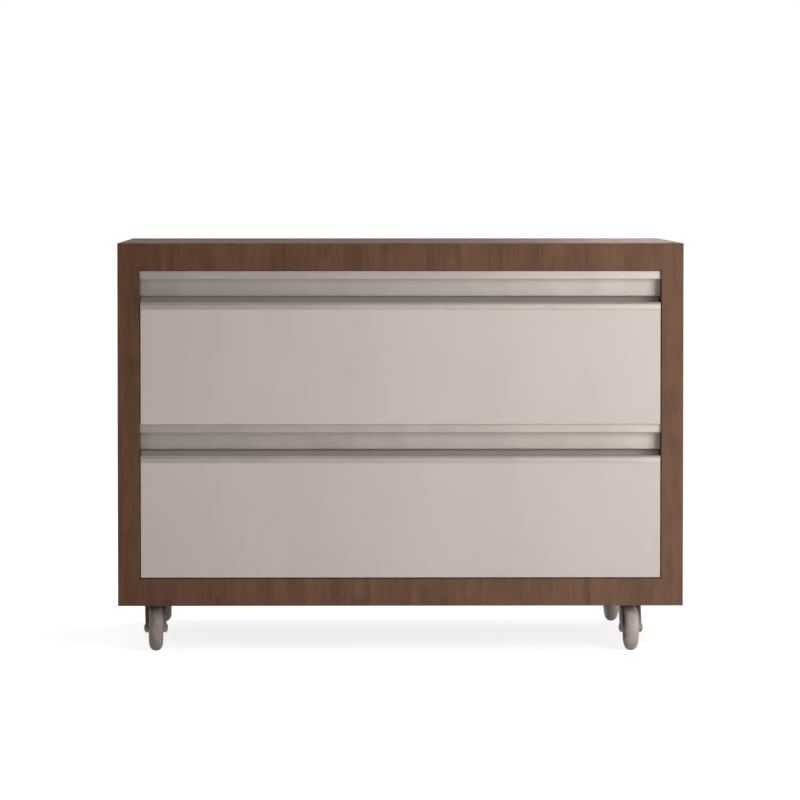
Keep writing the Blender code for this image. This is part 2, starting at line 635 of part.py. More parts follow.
def make_wheel(corner, swivel):
    """A plastic hub that runs on the axle, with a rubber tyre over its rim."""
    boss_half = FORK_WIDTH / 2 - FORK_SHEET - SEAT_GAP
    rim_radius = HUB_RADIUS - HUB_RIM
    hub_half = [
        (AXLE_RADIUS + SEAT_GAP, boss_half),
        (HUB_BOSS_RADIUS, boss_half),
        (HUB_BOSS_RADIUS, HUB_WEB / 2),
        (rim_radius, HUB_WEB / 2),
        (rim_radius, HUB_WIDTH / 2),
        (HUB_RADIUS, HUB_WIDTH / 2),
    ]
    hub_profile = hub_half + [(radius, -height) for radius, height in reversed(hub_half)]

    shoulder = (TYRE_WIDTH - TREAD_FLAT) / 2
    tread = WHEEL_DIAMETER / 2
    tyre_half = [(HUB_RADIUS + SEAT_GAP, HUB_WIDTH / 2)]
    for step in range(TREAD_STEPS, -1, -1):
        angle = math.pi / 2 * step / TREAD_STEPS
        radius = tread - TREAD_DROP * (1 - math.cos(angle))
        tyre_half.append((radius, TREAD_FLAT / 2 + shoulder * math.sin(angle)))
    tyre_profile = tyre_half + [(radius, -height) for radius, height in reversed(tyre_half)]

    place = (0, -CASTER_TRAIL, AXLE_HEIGHT)
    hub = turned(f"{corner}_wheel_hub", hub_profile, HUB_SIDES, HUB_PLASTIC, place, swivel, ring=True)
    tyre = turned(f"{corner}_wheel_tyre", tyre_profile, WHEEL_SIDES, TYRE_RUBBER, place, swivel, ring=True)
    hub.rotation_euler = ALONG_AXLE
    tyre.rotation_euler = ALONG_AXLE


def make_caster(corner, x, y):
    make_caster_plate(corner, x, y)
    swivel = empty(f"{corner}_swivel", (x, y, 0), (0, 0, CASTER_TURNS[corner]))
    make_fork(corner, swivel)
    make_axle(corner, swivel)
    make_wheel(corner, swivel)


make_base()
make_case()
make_pull_rail("upper", CEILING_Z, -SEAT_GAP)
make_pull_rail("lower", DRAWER_BASES["upper"], FRONT_LIP_OVERLAP)
make_rail_brackets(DRAWER_BASES["upper"], FRONT_LIP_OVERLAP)
for drawer_level, drawer_base in DRAWER_BASES.items():
    make_drawer(drawer_level, drawer_base)
for caster_corner, (caster_x, caster_y) in CASTER_PLACES.items():
    make_caster(caster_corner, caster_x, caster_y)
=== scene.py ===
import json
import math

import bmesh
import bpy
from mathutils import Matrix, Vector


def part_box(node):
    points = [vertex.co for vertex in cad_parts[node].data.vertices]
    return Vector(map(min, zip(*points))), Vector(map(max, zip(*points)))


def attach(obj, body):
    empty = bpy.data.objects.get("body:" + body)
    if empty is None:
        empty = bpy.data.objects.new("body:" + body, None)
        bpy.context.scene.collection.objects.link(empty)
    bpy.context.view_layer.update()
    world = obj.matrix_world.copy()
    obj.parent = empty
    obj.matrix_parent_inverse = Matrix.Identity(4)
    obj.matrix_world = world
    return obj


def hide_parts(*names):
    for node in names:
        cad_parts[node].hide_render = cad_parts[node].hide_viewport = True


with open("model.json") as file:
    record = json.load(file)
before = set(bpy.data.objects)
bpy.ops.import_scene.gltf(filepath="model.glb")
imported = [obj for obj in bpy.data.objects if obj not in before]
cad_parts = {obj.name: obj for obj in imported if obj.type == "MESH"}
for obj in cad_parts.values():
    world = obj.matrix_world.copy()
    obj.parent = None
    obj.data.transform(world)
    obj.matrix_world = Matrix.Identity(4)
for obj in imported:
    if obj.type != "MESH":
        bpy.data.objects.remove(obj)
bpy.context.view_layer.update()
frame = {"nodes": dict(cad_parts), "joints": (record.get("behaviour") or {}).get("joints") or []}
NODES = frame["nodes"]
JOINTS = {joint["name"]: joint for joint in frame["joints"]}
MM = 0.001
TINY = 0.01 * MM
QUARTER_TURN = math.pi / 2
UP = Vector((0, 0, 1))

CORNERS = ("front_left", "front_right", "rear_left", "rear_right")
LEVELS = ("upper", "lower")
SIDES = ("left", "right")
BOX_PARTS = ("front", "left_side", "right_side", "back", "bottom")
SLIDE_MEMBERS = ("outer", "middle", "inner")

# Where the camera stands, and what is at the middle of its frame
CAMERA_PLACE = Vector((-0.075, -6.025, 0.5254))
CAMERA_AIM = Vector((-0.0007, -0.225, 0.2783))
CAMERA_LENS = 238.45
SENSOR_WIDTH = 36

# Level of the light from all round, of the studio in front as reflections show it, and between which y
# of a ray the studio gives way to the backdrop
FILL = 0.4
STUDIO = 0.1
STUDIO_EDGE = (-0.3, 0.2)
WHITE = (1, 1, 1)
WARM = (1, 0.94, 0.88)
WARM_RIM = (1, 0.9, 0.82)

# Floor: how far it reaches, how much light it scatters, and how it glows to the camera and in reflections
FLOOR_REACH = 30
FLOOR_SQUARES = 8
FLOOR_GREY = (0.6, 0.6, 0.6)
FLOOR_GLOW = 0.8

# Noise stays mostly between these, so tones run from one to the other
NOISE_SPAN = (0.3, 0.7)

# Grain: how far it is stretched in x, y and z, small along the way that it runs
UPRIGHT_GRAIN = (1, 1, 0.05)
FLOWING_GRAIN = (1, 0.05, 0.05)
UPRIGHT_BLOTCHES = (1, 1, 0.35)
FLOWING_BLOTCHES = (1, 0.35, 0.35)
# Shares of blotches, streaks and fibres in a board's tone
GRAIN_SHARES = (0.5, 0.35, 0.15)
# How deep under a board's flats the flowing grain ends, and how deep it is full
GRAIN_DEPTH = (0.5 * MM, 0.3 * MM)
VEIN_SPAN = (0.64, 0.72)
VEIN_SHARE = 0.45

# Wear: between which noise its patches grow, their share, the part of its width that is fully worn, and how
# far past a board's end it is set where the next board is joined on
WEAR_SPAN = (0.45, 0.62)
WEAR_SHARE = 0.3
WEAR_CORE = 0.2
WEAR_PAST = Vector((0, 0, 10 * MM))

# Colours, from dark to pale where there is more than one
WALNUT_STOPS = (0.34, 0.5, 0.66)
WALNUT_WARM = ((0.0755, 0.031, 0.0144), (0.113, 0.048, 0.0251), (0.1515, 0.0653, 0.0348))
WALNUT_COOL = ((0.0755, 0.0384, 0.0205), (0.113, 0.0593, 0.0356), (0.1515, 0.0806, 0.0494))
WALNUT_VEIN = (0.062, 0.029, 0.016)
WALNUT_WORN = (0.2, 0.13, 0.09)
LAMINATE = ((0.49, 0.436, 0.403), (0.514, 0.46, 0.427))
LAMINATE_WORN = (0.62, 0.57, 0.53)
ALUMINIUM_STOPS = (0.1, 0.6)
ALUMINIUM = ((0.368, 0.321, 0.293), (0.44, 0.386, 0.353))
# Painted shade: flat coats behind the rails and grips, whose colours give the shaded gaps and hollows their
# tone
RAIL_GAP_SHADE = (0.47, 0.406, 0.366)
GRIP_GAP_SHADE = (0.42, 0.367, 0.335)
GAP_SHADE_PALER = 1.07
BOARD_STOPS = (0.35, 0.65)
BOARD = ((0.56, 0.525, 0.475), (0.62, 0.59, 0.54))
BOARD_STAIN = (0.52, 0.48, 0.43)
ZINC = ((0.50, 0.50, 0.515), (0.60, 0.60, 0.605))
DULL_STEEL = ((0.21, 0.188, 0.175), (0.285, 0.259, 0.244))
DULL_STEEL_SCUFF = (0.4, 0.375, 0.35)
HUB_GREY = ((0.262, 0.243, 0.225), (0.298, 0.278, 0.258))
RUBBER_STOPS = (0.2, 0.85)
RUBBER_GREY = ((0.23, 0.193, 0.172), (0.45, 0.393, 0.36))

# Slow drifts over the unit: from where to where in x or z, and the values there. The drifts in x are painted
# light: darker on the left and lighter to the right, where the lamps stand, with a painted sheen that turns
# the walnut cooler to the right. In z the walnut turns paler and cooler towards the bottom.
WALNUT_PAINTED_LIGHT_X = ((-0.31, 0.31), (-0.055, 0.1))
WALNUT_TONE_Z = ((0.05, 0.45), (0.022, -0.022))
WALNUT_PAINTED_SHEEN_X = ((-0.28, 0.28), (0.36, 0.94))
WALNUT_HUE_Z = ((0.065, 0.435), (0.16, -0.16))
LAMINATE_PAINTED_LIGHT_X = ((-0.28, 0.28), (-0.15, 0.15))
ALUMINIUM_PAINTED_SHADE_X = ((-0.29, 0.05), (-0.3, 0.0))
RUBBER_PAINTED_LIGHT_X = ((-0.28, 0.28), (-0.2, 0.2))

# The y behind which pull rails and grip edges lose their metal sheen for a flat coat, and how soft its edge
# is. The coat is painted shade: its colour gives the shaded gaps behind the rails and the grips' hollows
# their tone.
RAIL_GAP_SHADE_FROM = -0.1998
GRIP_GAP_SHADE_FROM = -0.22385
GAP_SHADE_EDGE = 0.5 * MM

# Edges that turn by more than this look sharp
SHARP_ANGLE = math.radians(35)

# A row of points this far past a rounded edge keeps the flat beside it flat in the shading
FLAT_EDGE = 0.15 * MM

# Pull rails: as in the solids, with a sharper and lower fold and a longer lip
RAIL_WALL = 1.6 * MM
RAIL_DEPTH = 18 * MM
RAIL_LIP_FOOT = 36.9 * MM
RAIL_FOOT = 17.5 * MM
RAIL_FOLD = 0.8 * MM
RAIL_BEND = 1.8 * MM
RAIL_EASE = 0.4 * MM
BEND_STEPS = 8

# Grip edges: as in the solids, with a fuller and higher nose, and closer on the fronts
GRIP_FOOT = 11.74 * MM
GRIP_LEG = 1.8 * MM
GRIP_RISE = 1 * MM
GRIP_NOSE = 3 * MM
GRIP_NOSE_STEPS = 16
GRIP_BACK_NOSE = 2 * MM
GRIP_BACK_NOSE_STEPS = 8
GRIP_HOLLOW = 1.6 * MM
GRIP_HOLLOW_STEPS = 12

# Tyres and hubs, as in the solids, with rounded edges on the hubs
TYRE_HALF = 7.7 * MM
TYRE_BORE = 15.8 * MM
TYRE_LIP = 0.6 * MM
TYRE_SIDES = 72
TREAD_HALF = 0.75 * MM
TREAD_DROP = 8.5 * MM
TREAD_STEPS = 12
HUB_RADIUS = 15.5 * MM
HUB_HALF = 7 * MM
HUB_WEB_HALF = 2.2 * MM
HUB_RIM = 2.5 * MM
HUB_SIDES = 48
HUB_CHAMFER = 0.4 * MM
HUB_FILLET = 0.8 * MM
RIM_FILLET = 0.5 * MM
FILLET_STEPS = 3
BOSS_RADIUS = 6.5 * MM
BOSS_HALF = 8.1 * MM
BORE_RADIUS = 3.3 * MM

# Axle rivets, with lower heads than in the solids: the dome's radii and how far under its crest each lies
PIN_RADIUS = 3 * MM
PIN_SEAT = 11.9 * MM
PIN_SIDES = 32
PIN_HEAD_RADIUS = 4.4 * MM
PIN_HEAD_HEIGHT = 1.4 * MM
PIN_DOME = (
    (0.05 * MM, 0),
    (1.6 * MM, 0.05 * MM),
    (2.9 * MM, 0.3 * MM),
    (3.8 * MM, 0.7 * MM),
    (PIN_HEAD_RADIUS, 1.15 * MM),
)

# Forks: the outside and the crown as in the solids, the legs thicker inwards
FORK_HALF = 11.6 * MM
FORK_CROWN = 2.2 * MM
FORK_LEG = 3.2 * MM
FORK_BEND = 4.2 * MM
FORK_END_RADIUS = 5.4 * MM
FORK_END_STEPS = 24
FORK_SWING = 19 * MM
FORK_SKIRT = 6 * MM
FORK_STEPS = 6
FORK_EASE = 0.5 * MM
FORK_EASE_SEGMENTS = 2
FORK_EASE_ANGLE = math.radians(50)
CROWN_BORE = 5 * MM

# Races on the crowns: the rim of the flat top, the shoulder's radius and drop, and how far they sink in
RACE_RADIUS = 17 * MM
RACE_HEIGHT = 1.2 * MM
RACE_BORE = 4.4 * MM
RACE_TOP = 15.2 * MM
RACE_SHOULDER = 16.1 * MM
RACE_SHOULDER_DROP = 0.4 * MM
RACE_SINK = 1 * MM
RACE_SIDES = 48

# Dark sheets behind the wheels, put where there is only shade: from and to in degrees off upright, and the
# share that their last steps taper by
SHADE_SHEET_INNER = 26.6 * MM
SHADE_SHEET_OUTER = 27.8 * MM
SHADE_SHEET_FROM = 16
SHADE_SHEET_TO = 92
SHADE_SHEET_STEPS = 24
SHADE_SHEET_TAPER = 0.25
SHADE_SHEET_TAPER_STEPS = 4

# Screw heads: radius and height of each kind, shares for their dome and cross recess, and where they sit
PLATE_SCREW = (4.6 * MM, 1.8 * MM)
FRONT_SCREW = (4.2 * MM, 2 * MM)
SLIDE_SCREW = (4 * MM, 1.8 * MM)
SCREW_SPOKES = 32
SCREW_RINGS = 8
SCREW_FALL = 0.55
CROSS_HALF = 0.13
CROSS_REACH = 0.6
CROSS_DEPTH = 0.5
PLATE_SHEET = 2.5 * MM
PLATE_SCREW_INSET = 6.5 * MM
FRONT_SCREW_COLUMNS = (-0.21, 0.0, 0.21)
FRONT_SCREW_ROWS = (0.3, 0.75)
SLIDE_SHEET = 1.2 * MM
SLIDE_SCREW_SHARES = (0.06, 0.35, 0.65, 0.94)

# Glue lines: the ease of the boards' edges that they fill, and the play to the boards
SEAM_EASE = 0.36 * MM
SEAM_PLAY = 0.02 * MM


class Nodes:
    """Puts nodes into a tree, and joins each of their inputs to a socket or sets it."""

    def __init__(self, tree):
        self.tree = tree

    def plug(self, socket, value):
        if isinstance(value, bpy.types.NodeSocket):
            self.tree.links.new(value, socket)
        else:
            socket.default_value = value

    def put(self, kind, settings=None, **inputs):
        node = self.tree.nodes.new("ShaderNode" + kind)
        for name, value in (settings or {}).items():
            setattr(node, name, value)
        for name, value in inputs.items():
            self.plug(node.inputs[name], value)
        return node

    def math(self, operation, *inputs, kind="Math"):
        node = self.put(kind, {"operation": operation})
        for socket, value in zip(node.inputs, inputs):
            self.plug(socket, value)
        return node.outputs[0]

    def total(self, first, *others):
        for other in others:
            first = self.math("ADD", first, other)
        return first

    def ranged(self, value, span, to=(0, 1)):
        """A value carried from one span to another and held there. Each end is a number or a socket."""
        node = self.put("MapRange", Value=value)
        for name, end in zip(("From Min", "From Max", "To Min", "To Max"), (*span, *to)):
            self.plug(node.inputs[name], end)
        return node.outputs["Result"]

    def ramp(self, factor, stops, colours):
        node = self.put("ValToRGB", Fac=factor)
        elements = node.color_ramp.elements
        while len(elements) < len(stops):
            elements.new(0.5)
        for element, stop, colour in zip(elements, stops, colours):
            element.position = stop
            element.color = (*colour, 1)
        return node.outputs["Color"]

    def mix(self, factor, first, second):
        node = self.put("Mix", {"data_type": "RGBA"})
        self.plug(node.inputs[0], factor)
        for socket, value in ((node.inputs[6], first), (node.inputs[7], second)):
            self.plug(socket, value if isinstance(value, bpy.types.NodeSocket) else (*value, 1))
        return node.outputs[2]

    def rays(self):
        """Whether a ray is the camera's own, and whether it comes by way of a reflection."""
        path = self.put("LightPath").outputs
        return path["Is Camera Ray"], self.math("MAXIMUM", path["Is Glossy Ray"], path["Is Transmission Ray"])


class Finish(Nodes):
    """A material in the making."""

    def __init__(self, name):
        self.material = bpy.data.materials.new(name)
        self.material.use_nodes = True
        super().__init__(self.material.node_tree)
        self.shader = self.tree.nodes["Principled BSDF"]
        self.place = self.put("TexCoord").outputs["Object"]

    def along(self, letter, span, to=(0, 1)):
        return self.ranged(self.put("SeparateXYZ", Vector=self.place).outputs[letter], span, to)

    def stretched(self, x, y, z):
        return self.put("Mapping", Vector=self.place, Scale=(x, y, z)).outputs["Vector"]

    def noise(self, vector, scale, detail=2.0, roughness=0.5, distortion=0.0):
        node = self.put(
            "TexNoise", Vector=vector, Scale=scale, Detail=detail, Roughness=roughness, Distortion=distortion
        )
        return node.outputs["Fac"]

    def bump(self, height, strength, depth=0.1 * MM):
        node = self.put("Bump", Height=height, Strength=strength, Distance=depth)
        self.plug(self.shader.inputs["Normal"], node.outputs["Normal"])

    def worn(self, colour, bare, low, high, width):
        """The colour with some of the bare one along the edges of a box-shaped piece, broken up by noise."""
        away = self.math("SUBTRACT", self.place, (low + high) / 2, kind="VectorMath")
        away = self.math("ABSOLUTE", away, kind="VectorMath")
        inset = self.math("SUBTRACT", (high - low) / 2, away, kind="VectorMath")
        parts = self.put("SeparateXYZ", Vector=inset)
        x, y, z = (parts.outputs[letter] for letter in "XYZ")
        outer = self.math("MINIMUM", self.math("MAXIMUM", x, y), z)
        second = self.math("MAXIMUM", self.math("MINIMUM", x, y), outer)
        near = self.ranged(second, (width, WEAR_CORE * width))
        patches = self.ranged(self.noise(self.place, scale=60, detail=3), WEAR_SPAN)
        share = self.math("MULTIPLY", self.math("MULTIPLY", near, patches), WEAR_SHARE)
        return self.mix(share, colour, bare)

    def set(self, **inputs):
        for name, value in inputs.items():
            self.plug(self.shader.inputs[name.replace("_", " ")], value)
        return self.material


def make_camera():
    data = bpy.data.cameras.new("camera")
    data.lens = CAMERA_LENS
    data.sensor_width = SENSOR_WIDTH
    camera = bpy.data.objects.new("camera", data)
    camera.location = CAMERA_PLACE
    camera.rotation_euler = (CAMERA_AIM - CAMERA_PLACE).to_track_quat("-Z", "Y").to_euler()
    bpy.context.scene.collection.objects.link(camera)
    bpy.context.scene.camera = camera


def make_light(name, place, aim, size, power, hue=WHITE, mirrored=True):
    """A lamp of a width and height that faces what it aims at. Reflections show it if it is mirrored."""
    data = bpy.data.lights.new(name, "AREA")
    data.shape = "RECTANGLE"
    data.size, data.size_y = size
    data.energy = power
    data.color = hue
    light = bpy.data.objects.new(name, data)
    light.location = place
    light.rotation_euler = (Vector(aim) - Vector(place)).to_track_quat("-Z", "Y").to_euler()
    light.visible_camera = False
    light.visible_glossy = mirrored
    bpy.context.scene.collection.objects.link(light)


def make_world():
    """White to the camera. To the rest warm: bright in reflections of the backdrop, and dimmer as fill."""
    world = bpy.data.worlds.new("studio")
    bpy.context.scene.world = world
    world.use_nodes = True
    nodes = Nodes(world.node_tree)
    direct, mirrored = nodes.rays()
    ray = nodes.put("TexCoord").outputs["Generated"]
    depth = nodes.put("SeparateXYZ", Vector=ray).outputs["Y"]
    reflected = nodes.ranged(depth, STUDIO_EDGE, (STUDIO, 1))
    level = nodes.ranged(mirrored, (0, 1), (FILL, reflected))
    shade = nodes.tree.nodes["Background"]
    nodes.plug(shade.inputs["Color"], nodes.mix(direct, WARM, WHITE))
    nodes.plug(shade.inputs["Strength"], nodes.ranged(direct, (0, 1), (level, 1)))


def placed(name, bm, material):
    mesh = bpy.data.meshes.new(name)
    bm.to_mesh(mesh)
    bm.free()
    mesh.materials.append(material)
    made = bpy.data.objects.new(name, mesh)
    bpy.context.scene.collection.objects.link(made)
    return made


def make_floor():
    """A pale floor that is seen as white wherever the object throws no shadow on it."""
    material = bpy.data.materials.new("floor_pale")
    material.use_nodes = True
    nodes = Nodes(material.node_tree)
    nodes.tree.nodes.remove(nodes.tree.nodes["Principled BSDF"])
    diffuse = nodes.put("BsdfDiffuse", Color=(*FLOOR_GREY, 1))
    seen = nodes.math("MAXIMUM", *nodes.rays())
    glow = nodes.put("Emission", Strength=nodes.ranged(seen, (0, 1), (0, FLOOR_GLOW)))
    both = nodes.put("AddShader")
    nodes.plug(both.inputs[0], diffuse.outputs[0])
    nodes.plug(both.inputs[1], glow.outputs[0])
    nodes.plug(nodes.tree.nodes["Material Output"].inputs["Surface"], both.outputs[0])
    bm = bmesh.new()
    bmesh.ops.create_grid(bm, x_segments=FLOOR_SQUARES, y_segments=FLOOR_SQUARES, size=FLOOR_REACH)
    floor = placed("floor", bm, material)


def walnut(name, low, high, flowing=False, joined_below=False, joined_above=False):
    """Satin walnut laminate for a board. Its grain stands upright, or on the flat of a board runs back.
    A board shows no wear along the edges where it is joined to the next one.
    """
    finish = Finish(f"walnut_{name}")
    flow = finish.stretched(*UPRIGHT_GRAIN)
    soft = finish.stretched(*UPRIGHT_BLOTCHES)
    if flowing:
        top = finish.along("Z", [high.z - depth for depth in GRAIN_DEPTH])
        underside = finish.along("Z", [low.z + depth for depth in GRAIN_DEPTH])
        flat = finish.total(top, underside)
        flow = finish.mix(flat, flow, finish.stretched(*FLOWING_GRAIN))
        soft = finish.mix(flat, soft, finish.stretched(*FLOWING_BLOTCHES))
    blotches = finish.noise(soft, scale=55, detail=4, roughness=0.6, distortion=0.6)
    streaks = finish.noise(flow, scale=110, detail=3, roughness=0.55, distortion=0.4)
    fibres = finish.noise(flow, scale=950, detail=2, roughness=0.6)
    grain = zip((blotches, streaks, fibres), GRAIN_SHARES)
    tone = finish.total(*(finish.math("MULTIPLY", part, share) for part, share in grain))
    # Painted light in x: darker on the left and lighter to the right, where the lamps stand. In z the walnut
    # turns paler towards the bottom.
    tone = finish.total(tone, finish.along("X", *WALNUT_PAINTED_LIGHT_X), finish.along("Z", *WALNUT_TONE_Z))
    # Painted sheen in x: the hue turns cooler and less saturated to the right. In z it turns cooler towards
    # the bottom.
    hue = finish.total(finish.along("X", *WALNUT_PAINTED_SHEEN_X), finish.along("Z", *WALNUT_HUE_Z))
    warm, cool = (finish.ramp(tone, WALNUT_STOPS, colours) for colours in (WALNUT_WARM, WALNUT_COOL))
    colour = finish.mix(hue, warm, cool)
    veins = finish.noise(flow, scale=46, detail=2, distortion=0.8)
    colour = finish.mix(finish.ranged(veins, VEIN_SPAN, (0, VEIN_SHARE)), colour, WALNUT_VEIN)
    low, high = low - WEAR_PAST * joined_below, high + WEAR_PAST * joined_above
    colour = finish.worn(colour, WALNUT_WORN, low, high, width=1.4 * MM)
    finish.bump(finish.total(fibres, streaks), strength=0.08, depth=0.2 * MM)
    roughness = finish.ranged(tone, (0.35, 0.65), (0.56, 0.68))
    return finish.set(Base_Color=colour, Roughness=roughness, Specular_IOR_Level=0.2)


def pale_laminate(name, low, high):
    finish = Finish(f"pale_laminate_{name}")
    drift = finish.noise(finish.stretched(1, 1, 0.5), scale=14, detail=3)
    grain = finish.noise(finish.place, scale=2200)
    # Painted light: the fronts are darker on the left and lighter to the right.
    tone = finish.total(drift, finish.along("X", *LAMINATE_PAINTED_LIGHT_X))
    colour = finish.ramp(tone, NOISE_SPAN, LAMINATE)
    colour = finish.worn(colour, LAMINATE_WORN, low, high, width=1.2 * MM)
    finish.bump(grain, strength=0.06)
    return finish.set(Base_Color=colour, Roughness=finish.ranged(drift, NOISE_SPAN, (0.36, 0.42)))


def pale_metal(name, gap_shade_from, gap_shade_tone):
    """Satin painted aluminium, brushed along its length. Behind the given y it has painted shade: no metal
    sheen, and a flat coat whose colour gives the shaded gap its tone.
    """
    finish = Finish(name)
    brush = finish.noise(finish.stretched(0.015, 1, 1), scale=1400)
    drift = finish.noise(finish.place, scale=25, detail=3)
    # Painted shade: the metal is darker towards the left end, fading out just past the middle.
    tone = finish.total(drift, finish.along("X", *ALUMINIUM_PAINTED_SHADE_X))
    colour = finish.ramp(tone, ALUMINIUM_STOPS, ALUMINIUM)
    # Painted shade: behind the given y the metal sheen is taken off, and a flat coat gives the shaded gaps
    # and hollows their tone.
    behind = finish.along("Y", (gap_shade_from, gap_shade_from + GAP_SHADE_EDGE))
    paler = tuple(GAP_SHADE_PALER * level for level in gap_shade_tone)
    colour = finish.mix(behind, colour, finish.ramp(drift, NOISE_SPAN, (gap_shade_tone, paler)))
    finish.bump(brush, strength=0.05)
    metallic = finish.ranged(behind, (0, 1), (0.75, 0))
    roughness = finish.ranged(brush, NOISE_SPAN, (0.42, 0.5))
    return finish.set(Base_Color=colour, Metallic=metallic, Roughness=roughness)


def box_board():
    finish = Finish("drawer_box_board")
    speckle = finish.noise(finish.place, scale=420, detail=3, roughness=0.65)
    drift = finish.noise(finish.place, scale=9)
    colour = finish.ramp(speckle, BOARD_STOPS, BOARD)
    colour = finish.mix(finish.ranged(drift, (0.4, 0.7), (0, 0.2)), colour, BOARD_STAIN)
    finish.bump(speckle, strength=0.05)
    return finish.set(Base_Color=colour, Roughness=finish.ranged(speckle, NOISE_SPAN, (0.46, 0.56)))


def zinc():
    finish = Finish("zinc_plated_steel")
    scores = finish.noise(finish.stretched(1, 0.02, 1), scale=1300)
    clouds = finish.noise(finish.place, scale=70, detail=4, roughness=0.6)
    colour = finish.ramp(clouds, NOISE_SPAN, ZINC)
    finish.bump(scores, strength=0.05)
    roughness = finish.ranged(clouds, NOISE_SPAN, (0.26, 0.38))
    return finish.set(Base_Color=colour, Metallic=1.0, Roughness=roughness)


def caster_steel():
    finish = Finish("caster_steel")
    clouds = finish.noise(finish.place, scale=180, detail=4, roughness=0.6)
    scuffs = finish.noise(finish.place, scale=900, detail=3, roughness=0.7)
    colour = finish.ramp(clouds, NOISE_SPAN, DULL_STEEL)
    colour = finish.mix(finish.ranged(scuffs, (0.6, 0.7), (0, 0.5)), colour, DULL_STEEL_SCUFF)
    finish.bump(clouds, strength=0.06)
    roughness = finish.ranged(clouds, NOISE_SPAN, (0.4, 0.52))
    return finish.set(Base_Color=colour, Metallic=0.35, Roughness=roughness)


def hub_plastic():
    finish = Finish("hub_plastic")
    mould = finish.noise(finish.place, scale=700, detail=3, roughness=0.6)
    finish.bump(mould, strength=0.08)
    roughness = finish.ranged(mould, NOISE_SPAN, (0.46, 0.56))
    return finish.set(Base_Color=finish.ramp(mould, NOISE_SPAN, HUB_GREY), Roughness=roughness)


def tyre_rubber():
    finish = Finish("tyre_rubber")
    dust = finish.noise(finish.place, scale=120, detail=4, roughness=0.65)
    grain = finish.noise(finish.place, scale=1500)
    # Painted light: the tyres are darker on the left and lighter to the right.
    tone = finish.total(dust, finish.along("X", *RUBBER_PAINTED_LIGHT_X))
    finish.bump(grain, strength=0.12)
    roughness = finish.ranged(dust, NOISE_SPAN, (0.66, 0.8))
    return finish.set(Base_Color=finish.ramp(tone, RUBBER_STOPS, RUBBER_GREY), Roughness=roughness)


def paint(material, *names):
    for name in names:
        slots = NODES[name].data.materials
        slots.clear()
        slots.append(material)


def paint_nodes(grip_metal, rail_metal, steel, dark_steel):
    paint(walnut("top_panel", *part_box("top_panel"), flowing=True, joined_below=True), "top_panel")
    paint(walnut("bottom_panel", *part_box("bottom_panel"), flowing=True), "bottom_panel")
    for name in ("left_side_panel", "right_side_panel", "back_panel"):
        paint(walnut(name, *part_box(name), joined_below=True, joined_above=True), name)
    for name in ("base_front_rail", "base_rear_rail", "base_left_rail", "base_right_rail"):
        paint(walnut(name, *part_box(name), joined_above=True), name)
    board = box_board()
    for level in LEVELS:
        front = f"{level}_front_panel"
        paint(pale_laminate(front, *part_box(front)), front)
        paint(rail_metal, f"{level}_pull_rail")
        paint(grip_metal, f"{level}_grip_edge")
        paint(board, *(f"{level}_box_{part}" for part in BOX_PARTS))
        for side in SIDES:
            paint(steel, *(f"{level}_{side}_slide_{member}" for member in SLIDE_MEMBERS))
    paint(steel, *(f"lower_rail_{side}_bracket" for side in SIDES))
    paint(dark_steel, *(f"{corner}_caster_plate" for corner in CORNERS))


def piece(name, bm, material, body, replaced=None):
    """A smooth-shaded piece on a body, in place of a CAD node if one is given."""
    bmesh.ops.recalc_face_normals(bm, faces=bm.faces)
    made = placed(name, bm, material)
    made.data.shade_smooth()
    made.data.set_sharp_from_angle(angle=SHARP_ANGLE)
    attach(made, body)
    if replaced:
        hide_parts(replaced)
    return made


def joined(bm, line, following, closed=False):
    """Faces between two rows of as many points."""
    for step in range(len(line) if closed else len(line) - 1):
        after = (step + 1) % len(line)
        bm.faces.new((line[step], line[after], following[after], following[step]))


def circle(radius, sides):
    turns = (math.tau * step / sides for step in range(sides))
    return [(radius * math.cos(turn), radius * math.sin(turn)) for turn in turns]


def rounded(centre, radius, start, end, steps):
    turns = (start + (end - start) * step / steps for step in range(steps + 1))
    return [(centre[0] + radius * math.cos(turn), centre[1] + radius * math.sin(turn)) for turn in turns]


def both_halves(half):
    return half + [(radius, -height) for radius, height in reversed(half)]


def lathed(profile, sides, matrix):
    """A closed ring of (radius, height) points turned about the matrix's Z axis."""
    bm = bmesh.new()
    rings = []
    for radius, height in profile:
        points = (Vector((x, y, height)) for x, y in circle(radius, sides))
        rings.append([bm.verts.new(matrix @ point) for point in points])
    for ring, following in zip(rings, rings[1:] + rings[:1]):
        joined(bm, ring, following, closed=True)
    return bm


def squared(corners):
    """A closed outline with a right angle at each (y, z, radius), rounded by the radius."""
    outline = []
    for before, now, after in zip(corners[-1:] + corners, corners, corners[1:] + corners[:1]):
        corner, radius = Vector(now[:2]), now[2]
        come = (corner - Vector(before[:2])).normalized()
        leave = (Vector(after[:2]) - corner).normalized()
        centre = corner + (leave - come) * radius
        outline.append(tuple(corner - come * (radius + FLAT_EDGE)))
        for step in range(BEND_STEPS + 1):
            turn = QUARTER_TURN * step / BEND_STEPS
            outline.append(tuple(centre + (come * math.sin(turn) - leave * math.cos(turn)) * radius))
        outline.append(tuple(corner + leave * (radius + FLAT_EDGE)))
    return outline


def drawn(outline, low_x, high_x):
    """A bar along X with a closed outline of (y, z) points as its section."""
    bm = bmesh.new()
    ends = [[bm.verts.new((x, y, z)) for y, z in outline] for x in (low_x, high_x)]
    joined(bm, *ends, closed=True)
    for end in ends:
        bm.faces.new(end)
    return bm


